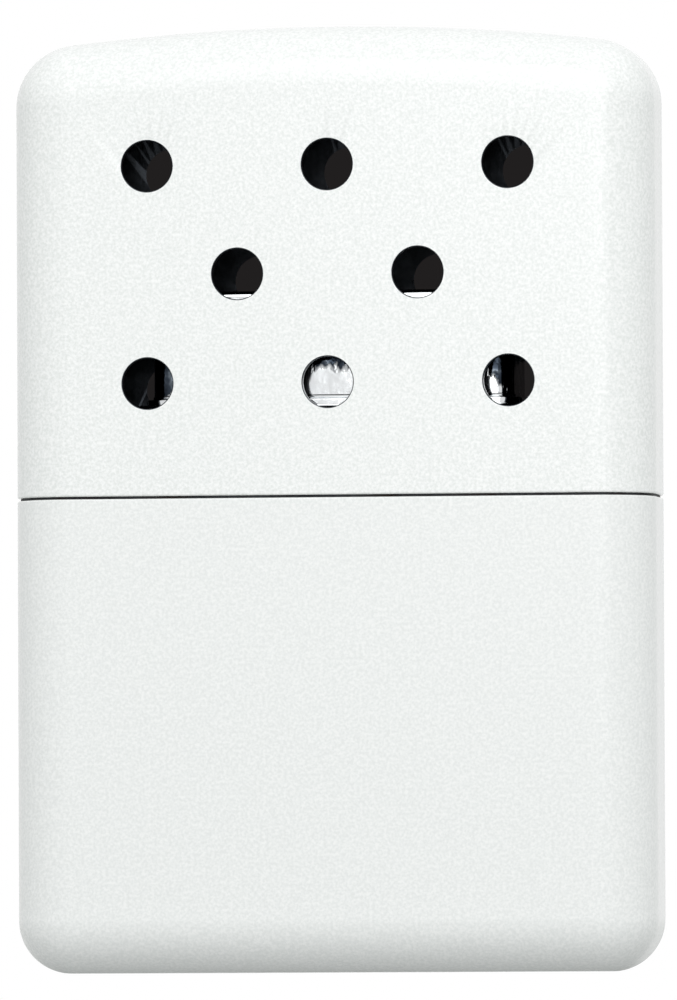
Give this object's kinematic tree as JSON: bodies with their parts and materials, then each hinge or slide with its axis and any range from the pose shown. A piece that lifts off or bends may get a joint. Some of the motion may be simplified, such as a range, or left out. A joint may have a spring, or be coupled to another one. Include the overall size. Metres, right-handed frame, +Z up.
{
  "type": "catalytic hand warmer",
  "caption": "Flat pocket hand warmer: painted metal case with a vented lift-off lid over a plated collar, a plug-on slotted catalytic burner and a cotton-packed fuel tank.",
  "frame": {"origin": "centre of the flat bottom, on the surface that the case stands on", "axes": "+Z up along the case's height, +X along its width to the right seen from the front, front face towards -Y"},
  "size_m": [0.0508, 0.0136, 0.0745],
  "materials": {
    "pearl_paint": "gloss",
    "plating": "polished",
    "cotton": "matte",
    "felt": "matte",
    "glass_fibre": "matte",
    "wire": "satin"
  },
  "bodies": {
    "tank": {"base_shell": "pearl_paint", "tank_collar": "plating", "filler_neck": "plating", "mouth_felt": "felt", "wadding_top": "cotton", "wadding_front": "cotton", "wadding_middle": "cotton", "wadding_back": "cotton"},
    "burner": {"burner_body": "plating", "burner_socket_plate": "plating", "mat_tray": "plating", "catalyst_mat": "glass_fibre", "mat_screen": "wire"},
    "lid": {"lid_shell": "pearl_paint"}
  },
  "joints": [
    {"name": "lid_lift", "type": "slide", "parent": "tank", "child": "lid", "axis": [0, 0, 1], "range_m": [0, 0.045]},
    {"name": "burner_lift", "type": "slide", "parent": "tank", "child": "burner", "axis": [0, 0, 1], "range_m": [0, 0.015]}
  ]
}
